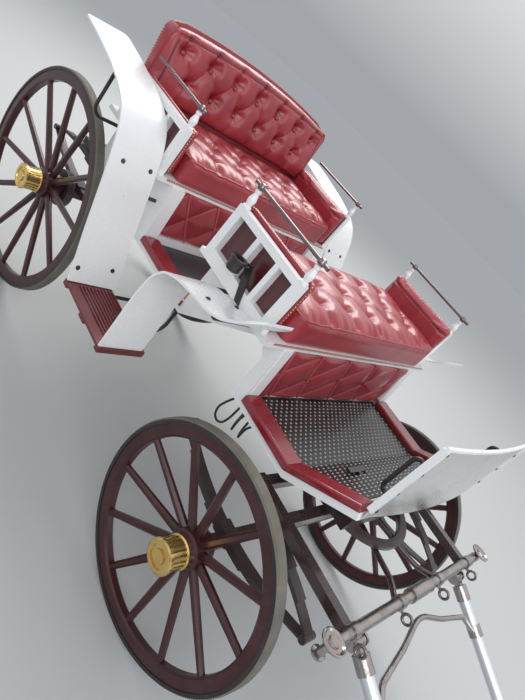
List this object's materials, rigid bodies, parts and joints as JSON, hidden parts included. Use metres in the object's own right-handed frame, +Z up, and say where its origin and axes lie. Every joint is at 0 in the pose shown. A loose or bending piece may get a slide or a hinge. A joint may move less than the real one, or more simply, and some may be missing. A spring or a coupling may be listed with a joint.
{
  "type": "horse drawn carriage",
  "caption": "Open four-wheeled carriage with spoked wheels, a steering front gear, two leather bench seats, wings, steps and a pair of shafts.",
  "frame": {"origin": "on the ground, under the middle of the whole length and width, shafts included", "axes": "+Z up; the horse stands towards -Y; the carriage's right side is at -X"},
  "size_m": [1.716, 5.1797, 1.5834],
  "materials": {
    "white_metal": "gloss white paint",
    "white_wood": "gloss white paint on wood",
    "red_wood": "gloss dark red paint on wood",
    "wheel_wood": "burgundy varnish, dusty",
    "solid_rubber": "black rubber, worn tan on the tread",
    "brass": "polished",
    "steel_plain": "dull bright steel with brown rust bloom",
    "steel_dark": "dark red-brown paint, worn",
    "steel_polished": "polished sheet",
    "shaft_alloy": "satin tube",
    "black_iron": "black paint",
    "red_leather": "red buttoned leather, satin",
    "black_rubber_mat": "studded black rubber",
    "black_fabric_mat": "plain dark mat",
    "black_pipe": "black coated pipe",
    "body_wood": "painted boards"
  },
  "bodies": {
    "body": {"floors": "body_wood", "seat_boxes": "body_wood", "side_boards": "white_wood", "corner_boards": "white_wood", "sill_mouldings": "red_wood", "front_mat": "black_rubber_mat", "mid_mat": "black_fabric_mat", "valances": "red_leather", "front_seat_frame": "white_wood", "rear_seat_frame": "white_wood", "seat_spindles": "white_metal", "seat_rails": "steel_plain", "front_seat_panels": "red_wood", "rear_seat_panels": "red_wood", "arm_pads": "red_leather", "front_cushion": "red_leather", "rear_cushion": "red_leather", "back_panel": "white_wood", "back_pad": "red_leather", "dash": "steel_polished", "dash_edge": "white_metal", "grab_handles": "black_iron", "brake_pedal": "black_iron", "front_wings": "white_metal", "rear_wings": "white_metal", "steps": "red_wood", "wing_irons": "black_iron", "lamp_sockets": "black_iron", "chassis_rails": "black_iron", "brake_pipes": "black_pipe", "kingpin_bolster": "steel_dark", "rear_axle": "steel_dark", "rear_springs": "steel_dark"},
    "front_gear": {"front_bed": "steel_plain", "splinter_bar": "steel_plain", "roller_bolts": "steel_plain", "trace_eyes": "steel_plain", "front_axle": "steel_dark", "front_springs": "steel_dark"},
    "shafts": {"shaft_right": "shaft_alloy", "shaft_left": "shaft_alloy", "shaft_fittings": "steel_plain"},
    "wheel_front_right": {"wheel_front_right": "wheel_wood", "tyre_front_right": "solid_rubber", "cap_front_right": "brass"},
    "wheel_front_left": {"wheel_front_left": "wheel_wood", "tyre_front_left": "solid_rubber", "cap_front_left": "brass"},
    "wheel_rear_right": {"wheel_rear_right": "wheel_wood", "tyre_rear_right": "solid_rubber", "cap_rear_right": "brass", "drum_rear_right": "steel_dark"},
    "wheel_rear_left": {"wheel_rear_left": "wheel_wood", "tyre_rear_left": "solid_rubber", "cap_rear_left": "brass", "drum_rear_left": "steel_dark"}
  },
  "joints": [
    {"name": "steering", "type": "hinge", "parent": "body", "child": "front_gear", "pos_m": [0, 0.07479, 0.743], "axis": [0, 0, 1], "range_deg": [-35, 35]},
    {"name": "shafts_lift", "type": "hinge", "parent": "front_gear", "child": "shafts", "pos_m": [0, -0.39121, 0.69], "axis": [-1, 0, 0], "range_deg": [0, 60]},
    {"name": "front_right_spin", "type": "hinge", "parent": "front_gear", "child": "wheel_front_right", "pos_m": [-0.719, 0.11479, 0.43944], "axis": [0.9987, 0, 0.0506], "continuous": true},
    {"name": "front_left_spin", "type": "hinge", "parent": "front_gear", "child": "wheel_front_left", "pos_m": [0.719, 0.11479, 0.43944], "axis": [0.9987, 0, -0.0506], "continuous": true},
    {"name": "rear_right_spin", "type": "hinge", "parent": "body", "child": "wheel_rear_right", "pos_m": [-0.642, 2.04879, 0.53931], "axis": [0.9987, 0, 0.0506], "continuous": true},
    {"name": "rear_left_spin", "type": "hinge", "parent": "body", "child": "wheel_rear_left", "pos_m": [0.642, 2.04879, 0.53931], "axis": [0.9987, 0, -0.0506], "continuous": true}
  ]
}
